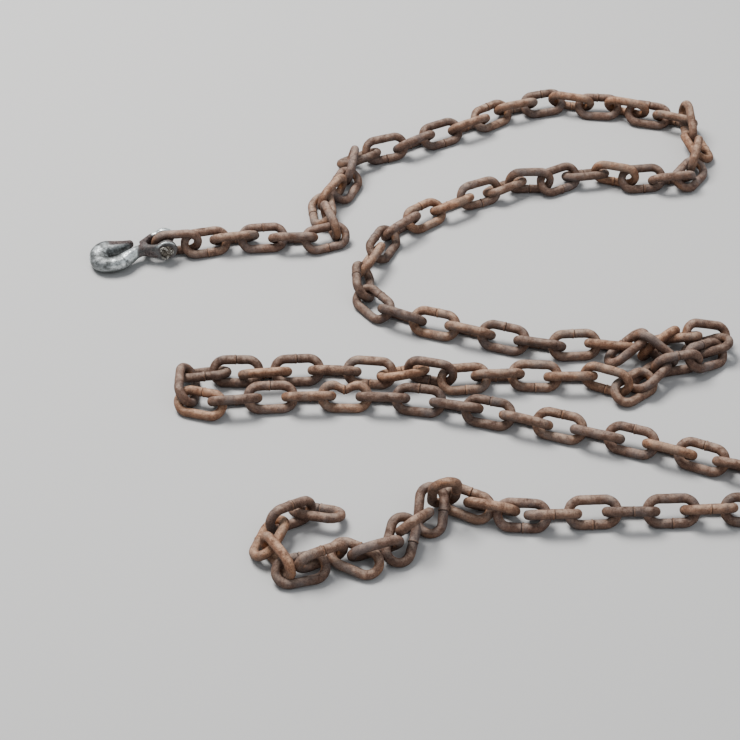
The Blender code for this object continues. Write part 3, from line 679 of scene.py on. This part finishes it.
# Painted highlight and rust-free rims on faces that turn up, grime and painted shade on faces that turn down
HIGHLIGHT_BY_UP = (0.2, 0.6)
CLEAN_BY_UP = (0.2, 0.5)
GRIME_AND_SHADE_BY_UP = (0.15, -0.85)
MOST_GRIME_AND_SHADE = 0.9
EAR_GRIME_AND_SHADE = 0.4


def rounded_square(sides, power):
    """Round a bar's section: how far each point lies to the side and up, in shares of the half sizes."""
    turn = np.arange(sides) * 2 * math.pi / sides
    wide, thick = np.cos(turn), np.sin(turn)
    return np.sign(wide) * abs(wide) ** power, np.sign(thick) * abs(thick) ** power


def curve_through(route, steps):
    """A route given in mm, as evenly spread points of a smooth curve, in metres."""
    knots = np.array(route) / 1000
    return smooth_through(np.arange(len(knots), dtype=float), knots, np.linspace(0, len(knots) - 1, steps))


def forged_bar():
    """The bent bar of the bowl, with a tip that is closed like a dome."""
    bar = curve_through(BAR_ROUTE, ROUTE_STEPS)
    run = np.gradient(bar[:, :2], axis=0)
    run /= np.linalg.norm(run, axis=1)[:, None]
    dome = np.radians(np.array(TIP_DOME))
    bar = np.vstack([bar] + [bar[-1:] for _ in dome])
    bar[-len(dome) :, :2] += run[-1] * (bar[-1, 2] * np.sin(dome))[:, None]
    bar[-len(dome) :, 2:] *= np.cos(dome)[:, None]
    run = np.vstack([run] + [run[-1:] for _ in dome])
    wide, thick = rounded_square(SECTION_SIDES, SECTION_POWER)
    points = np.zeros((len(bar), SECTION_SIDES, 3))
    points[..., 0] = bar[:, None, 0] - run[:, None, 1] * bar[:, None, 2] * wide
    points[..., 1] = bar[:, None, 1] + run[:, None, 0] * bar[:, None, 2] * wide
    points[..., 2] = bar[:, None, 3] * thick
    return points.reshape(-1, 3), ring_faces(len(bar), SECTION_SIDES)


def ear_arm(side):
    """From the neck out to one ear: a flat bar that leaves the neck and turns straight."""
    bar = curve_through(EAR_ROUTE, EAR_STEPS)
    wide, thick = rounded_square(EAR_SIDES, EAR_POWER)
    points = np.zeros((len(bar), EAR_SIDES, 3))
    points[..., 0] = bar[:, None, 0]
    points[..., 1] = side * bar[:, None, 1] + bar[:, None, 2] * wide
    points[..., 2] = bar[:, None, 3] * thick
    return points.reshape(-1, 3), ring_faces(len(bar), EAR_SIDES)


def turned_piece(profile, middle_y=0.0):
    """A turned shape round the y axis from (radius, y) pairs."""
    turn = np.arange(TURNED_SIDES) * 2 * math.pi / TURNED_SIDES
    points = [(r * math.cos(a), middle_y + y, r * math.sin(a)) for r, y in profile for a in turn]
    return np.array(points), ring_faces(len(profile), TURNED_SIDES)


def ear_profile():
    """Half of an ear's section, with rounded rims."""
    inner, flat = EAR_ROUND - EAR_ROUNDING, EAR_HALF - EAR_ROUNDING
    steps = np.radians((0, 22.5, 45, 67.5, 90))
    edge = [(inner + EAR_ROUNDING * math.sin(a), -flat - EAR_ROUNDING * math.cos(a)) for a in steps]
    return [(NEAR_AXIS, -EAR_HALF)] + edge + [(r, -y) for r, y in reversed(edge)] + [(NEAR_AXIS, EAR_HALF)]


def object_from(name, shapes, material):
    """One mesh object from several point and face lists."""
    points, faces, count = [], [], 0
    for part_points, part_faces in shapes:
        points += part_points.tolist()
        faces += [[count + k for k in face] for face in part_faces]
        count += len(part_points)
    mesh = bpy.data.meshes.new(name)
    mesh.from_pydata(points, [], faces)
    shape = bmesh.new()
    shape.from_mesh(mesh)
    bmesh.ops.recalc_face_normals(shape, faces=shape.faces)
    shape.to_mesh(mesh)
    shape.free()
    mesh.materials.append(material)
    return in_scene(mesh)


def bake_modifiers(made):
    """Takes the modifiers' result as the object's own mesh."""
    graph = bpy.context.evaluated_depsgraph_get()
    mesh = bpy.data.meshes.new_from_object(made.evaluated_get(graph))
    made.modifiers.clear()
    made.data = mesh


def zinc_finish():
    """Worn zinc: dull grey with darker blotches, painted highlights, rust at the neck and the tip, and grime
    with painted shade on down-facing sides.
    """
    zinc = Finish("galvanised_hook_looks")
    blotch, fine, scratch = (zinc.noise(*kind) for kind in (BLOTCH_NOISE, FINE_NOISE, SCRATCH_NOISE))

    def share_of(name, jitter, low, high):
        """How far a layer of the mesh, broken up by the blotches, lies between two limits."""
        broken = zinc.sum("MULTIPLY_ADD", blotch, jitter, -jitter / 2)
        return zinc.ramp(zinc.sum("ADD", zinc.layer(name), broken), (low, 0.0), (high, 1.0))

    # Painted highlight: near-white, glossier zinc where light glints on the hook
    bright = share_of("bright", 2.4, 0.35, 0.85)
    rusted = share_of("rusted", 2.2, 0.30, 0.85)
    # Grime and painted shade: dark green on the faces that turn down
    grime = share_of("grime", 1.0, 0.30, 0.80)
    colour = zinc.ramp(blotch, (0.34, ZINC_DARK), (0.48, ZINC_GREY), (0.64, ZINC_PALE))
    colour = zinc.mix(bright, colour, ZINC_HIGHLIGHT)
    scratches = zinc.ramp(scratch, (0.38, 0.0), (0.43, 0.70), (0.48, 0.0))
    colour = zinc.mix(scratches, colour, SCRATCH_DARK)
    scale = zinc.ramp(fine, (0.35, SCALE_DARK), (0.52, SCALE_BROWN), (0.68, SCALE_PALE))
    colour = zinc.mix(rusted, colour, scale)
    colour = zinc.mix(grime, colour, GRIME_AND_SHADE_GREEN)
    zinc.feed(zinc.shader["Base Color"], colour)
    zinc.feed(zinc.shader["Metallic"], zinc.ramp(rusted, (0.0, 0.75), (1.0, 0.15)))
    dull = zinc.between(rusted, zinc.ramp(fine, (0.35, 0.58), (0.65, 0.40)), 0.85)
    zinc.feed(zinc.shader["Roughness"], zinc.between(bright, dull, 0.30))
    zinc.relief(zinc.sum("MULTIPLY_ADD", blotch, 1.5, fine), 0.45, 0.0005)
    return zinc.material


def near(spots, spot, reach):
    """One at the spot and falling off to nothing at the reach."""
    return np.clip(1 - np.linalg.norm((spots - np.array(spot)) / np.array(reach), axis=1), 0, 1)


def fade(values, ends):
    """How far values have come from the first end, where it is 0, to the second, where it is 1."""
    return np.clip((values - ends[0]) / (ends[1] - ends[0]), 0, 1)


def finish_layers(spots, up):
    """Over the hook's points, in mm: how much painted highlight, how much rust, and how much grime and
    painted shade lie there.
    """
    x, y = spots[:, 0], spots[:, 1]
    # Painted highlights: spots on the belly, the shoulder and the left rim, and the ears' near rims where
    # they face up
    bright = sum(much * near(spots, spot, reach) for much, spot, reach in HIGHLIGHT_SPOTS)
    ears = fade(x, EARS_BY_X)
    rim = np.where(y < 0, 1.0, fade(y, NEAR_RIM_BY_Y))
    bright += EAR_HIGHLIGHT * ears * rim * fade(up, HIGHLIGHT_BY_UP)
    neck = fade(x - NECK_SLANT * y, NECK_BY_X) * (1 - ears)
    least, most = NECK_RUST
    rusted = neck * (least + (most - least) * fade(y, NECK_BY_Y))
    # The ears rust, except on the near rim where it faces up and holds the painted highlight
    rusted += EAR_RUST * ears * (1 - rim * fade(up, CLEAN_BY_UP))
    tip = fade(y, TIP_BY_Y) * fade(x, TIP_BY_X) * (x > TIP_ENDS_AT_X)
    bright *= 1 - (1 - HIGHLIGHT_UNDER_RUST) * np.maximum(neck, tip)
    # Grime and painted shade grow as a face turns down, less on the ears
    grime = MOST_GRIME_AND_SHADE * fade(up, GRIME_AND_SHADE_BY_UP) * (1 - (1 - EAR_GRIME_AND_SHADE) * ears)
    return {"bright": bright, "rusted": np.maximum(rusted, tip), "grime": grime}


def build_hook():
    ear = ear_profile()
    shapes = [forged_bar(), ear_arm(1), ear_arm(-1)]
    shapes += [turned_piece(ear, EAR_MIDDLE), turned_piece(ear, -EAR_MIDDLE)]
    hook = object_from("grab_hook", shapes, zinc_finish())
    skin = hook.modifiers.new("one skin", "REMESH")
    skin.mode = "VOXEL"
    skin.voxel_size = VOXEL
    fillet = hook.modifiers.new("forged fillets", "SMOOTH")
    fillet.factor = FILLET_SHARE
    fillet.iterations = FILLET_ROUNDS
    bake_modifiers(hook)

    bore_radius = PIN_RADIUS + PIN_CLEARANCE
    bore_ends = [(bore_radius, -BORE_HALF), (bore_radius, BORE_HALF)]
    bore = object_from("pin_bore", [turned_piece(bore_ends)], hook.data.materials[0])
    cut = hook.modifiers.new("pin hole", "BOOLEAN")
    cut.operation = "DIFFERENCE"
    cut.solver = "EXACT"
    cut.object = bore
    bake_modifiers(hook)
    bpy.data.objects.remove(bore, do_unlink=True)

    mesh = hook.data
    points = np.empty(len(mesh.vertices) * 3, np.float32)
    mesh.vertices.foreach_get("co", points)
    points = points.reshape(-1, 3).astype(float)
    normals = np.array([tuple(v.normal) for v in mesh.vertices])
    dents = np.array([
        noise.noise(Vector(p * WIDE_DENTS)) + noise.noise(Vector(p * SMALL_DENTS)) / 2 for p in points
    ])
    dented = points + normals * (DENT_DEPTH * dents)[:, None]
    mesh.vertices.foreach_set("co", dented.astype(np.float32).reshape(-1))
    mesh.shade_smooth()
    for name, values in finish_layers(points * 1000, normals[:, 2]).items():
        give_layer(mesh, name, values)
    mesh.transform(hook_pose)
    return hook


hook = build_hook()
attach(hook, "hook")
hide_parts("hook")


# CLEVIS PIN
# A short steel pin, dark with rust, through both ears and the first link. A split pin of bright
# wire goes through its near end and is curled back against the ear.
PIN_HALF = 0.0129

# The pin's two ends as turned: radius, and how far past PIN_HALF, in mm
FAR_END = ((0.4, 2.1), (3.0, 1.9), (5.0, 1.2), (5.4, 0.2), (4.5, -0.1))
NEAR_END = ((4.5, 0), (6.2, 0.2), (6.4, 0.8), (6.1, 1.3), (4.6, 1.5), (4.4, 2.6), (3.6, 3.1), (0.4, 3.2))

# The split pin: one leg of its wire by x, how far past WIRE_FACE and z, in mm, and its eye
WIRE_FACE = PIN_HALF * 1000 + 2.4
WIRE_RADIUS = 0.00105
WIRE_LEG = (
    (0.0, -0.4, 3.0), (0.4, 0.2, 4.6), (1.8, 0.1, 6.2), (3.8, -0.4, 6.4), (5.3, -0.6, 5.0), (5.6, -0.7, 3.2),
)
EYE_AT = -4.0
EYE_RADIUS = 1.6
EYE_POINTS = 13
EYE_WIRE = 0.8
WIRE_SIDES = 14
WIRE_STEPS = 6
WIRE_START = (0.31, 0.22, 0.92)

PIN_DARK = (0.030, 0.024, 0.020, 1)
PIN_BROWN = (0.085, 0.068, 0.052, 1)
PIN_PALE = (0.240, 0.220, 0.190, 1)
WIRE_BARE = (0.46, 0.45, 0.41, 1)
PIN_NOISE = (800, 5, 0.5)


def pin_finish():
    """Dark rusted steel with a little bare metal on the high spots, and wire that is rubbed bright."""
    steel = Finish("rusty_pin_looks")
    grain = steel.noise(*PIN_NOISE)
    tone = steel.ramp(grain, (0.34, PIN_DARK), (0.50, PIN_BROWN), (0.62, PIN_PALE))
    bare = steel.ramp(steel.sum("MULTIPLY", steel.layer("wire"), grain), (0.38, 0.0), (0.56, 0.8))
    steel.feed(steel.shader["Base Color"], steel.mix(bare, tone, WIRE_BARE))
    steel.feed(steel.shader["Metallic"], 0.5)
    steel.feed(steel.shader["Roughness"], steel.ramp(grain, (0.4, 0.75), (0.65, 0.42)))
    steel.relief(grain, 0.5, 0.0004)
    return steel.material


def wire_along(route, radius):
    """A round wire along a route given in mm."""
    path = curve_through(route, len(route) * WIRE_STEPS)
    run = np.gradient(path, axis=0)
    run /= np.linalg.norm(run, axis=1)[:, None]
    across = np.cross(run[0], WIRE_START)
    turn = np.arange(WIRE_SIDES) * 2 * math.pi / WIRE_SIDES
    rings = []
    for point, ahead in zip(path, run):
        across = across - ahead * across.dot(ahead)
        across /= np.linalg.norm(across)
        third = np.cross(ahead, across)
        rings.append(point + radius * (np.cos(turn)[:, None] * across + np.sin(turn)[:, None] * third))
    return np.concatenate(rings), ring_faces(len(rings), WIRE_SIDES)


def build_pin():
    profile = [(r / 1000, -PIN_HALF - past / 1000) for r, past in FAR_END]
    profile += [(r / 1000, PIN_HALF + past / 1000) for r, past in NEAR_END]
    shapes = [turned_piece(profile)]
    for side in (1, -1):
        shapes.append(wire_along([(x, WIRE_FACE + past, side * z) for x, past, z in WIRE_LEG], WIRE_RADIUS))
    round_eye = np.linspace(0, 2 * math.pi, EYE_POINTS)
    eye = [(EYE_AT + EYE_RADIUS * math.cos(a), WIRE_FACE, EYE_RADIUS * math.sin(a)) for a in round_eye]
    shapes.append(wire_along(eye, WIRE_RADIUS * EYE_WIRE))
    pin = object_from("hook_pin", shapes, pin_finish())
    pin.data.shade_smooth()
    on_wire = np.arange(len(pin.data.vertices)) >= len(profile) * TURNED_SIDES
    give_layer(pin.data, "wire", on_wire)
    pin.data.transform(hook_pose)
    return pin


pin = build_pin()
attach(pin, "hook")
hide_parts("clevis_pin")


# FLOOR, LIGHT AND CAMERA
# A plain pale floor, a broad soft light from above the left shoulder, and a long lens that looks
# down at the chain as the photograph does.
FLOOR_HALF = 4.0
FLOOR_GREY = (0.62, 0.62, 0.62, 1)
FLOOR_ROUGHNESS = 0.9
SKY_COLOUR = (0.92, 0.96, 1.0, 1)
SKY_STRENGTH = 0.36

# Each lamp's name, place, size, power and colour
LAMPS = (
    ("key", (-0.9, 0.9, 2.4), 1.2, 115, (1.0, 0.98, 0.95)),
    ("fill", (1.6, -1.2, 1.8), 2.0, 10, (0.93, 0.96, 1.0)),
)

# The lens, and where the camera stands in the frame that the chain was drawn in
FOCAL_PIXELS = 2000
IMAGE_SIDE = 740
SENSOR_WIDTH = 36
CAMERA_PLACE = (-0.050, -1.430, 1.217)
LOOKS_DOWN = math.radians(42)

floor_mesh = bpy.data.meshes.new("floor")
floor_corners = [(x * FLOOR_HALF, y * FLOOR_HALF, FLOOR) for x, y in ((-1, -1), (1, -1), (1, 1), (-1, 1))]
floor_mesh.from_pydata(floor_corners, [], [(0, 1, 2, 3)])
floor_finish = Finish("pale_floor")
floor_finish.feed(floor_finish.shader["Base Color"], FLOOR_GREY)
floor_finish.feed(floor_finish.shader["Roughness"], FLOOR_ROUGHNESS)
floor_mesh.materials.append(floor_finish.material)
in_scene(floor_mesh)

world = bpy.data.worlds.new("studio")
world.use_nodes = True
sky = world.node_tree.nodes["Background"].inputs
sky["Color"].default_value = SKY_COLOUR
sky["Strength"].default_value = SKY_STRENGTH
bpy.context.scene.world = world

for name, place, size, power, tint in LAMPS:
    light = bpy.data.lights.new(name, "AREA")
    light.size = size
    light.energy = power
    light.color = tint
    lamp = bpy.data.objects.new(name, light)
    lamp.location = place
    lamp.rotation_euler = (-Vector(place)).to_track_quat("-Z", "Y").to_euler()
    bpy.context.scene.collection.objects.link(lamp)

lens = bpy.data.cameras.new("camera")
lens.sensor_width = SENSOR_WIDTH
lens.lens = SENSOR_WIDTH * FOCAL_PIXELS / IMAGE_SIDE
camera = bpy.data.objects.new("camera", lens)
camera.location = Vector(CAMERA_PLACE) + Vector(shift)
camera.rotation_euler = (math.pi / 2 - LOOKS_DOWN, 0, 0)
bpy.context.scene.collection.objects.link(camera)
bpy.context.scene.camera = camera
